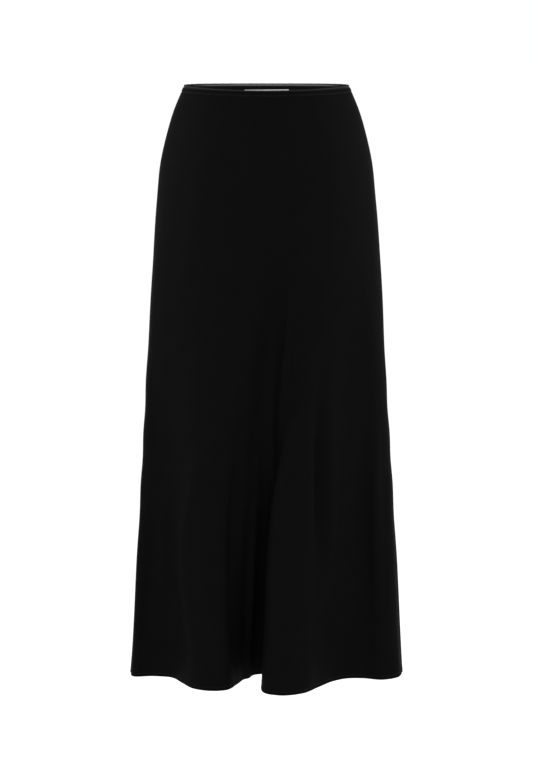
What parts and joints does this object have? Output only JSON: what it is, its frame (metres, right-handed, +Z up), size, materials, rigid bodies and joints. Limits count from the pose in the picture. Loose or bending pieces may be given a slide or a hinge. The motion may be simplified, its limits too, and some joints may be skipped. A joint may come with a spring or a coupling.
{
  "type": "bias cut midi skirt",
  "caption": "Long flared skirt cut on the bias, hanging hollow from a narrow picot-edged elastic waist, with soft cone folds in front and behind.",
  "frame": {"origin": "centre of the waist opening, level with the top folded edge of the cloth at the side seams, where the wearer's waist holds the skirt", "axes": "+Z up, -Y to the wearer's front, +X to the right of someone who faces the front; the hem lies at z = -0.884"},
  "size_m": [0.4151, 0.2962, 0.8872],
  "materials": {
    "cloth": "black bias-cut crepe-back cloth, matt with a faint sheen",
    "elastic": "black picot lingerie elastic",
    "label": "bare white woven label"
  },
  "bodies": {
    "root": {"front_panel": "cloth", "back_panel": "cloth", "waist_elastic": "elastic", "back_label": "label"}
  },
  "joints": []
}
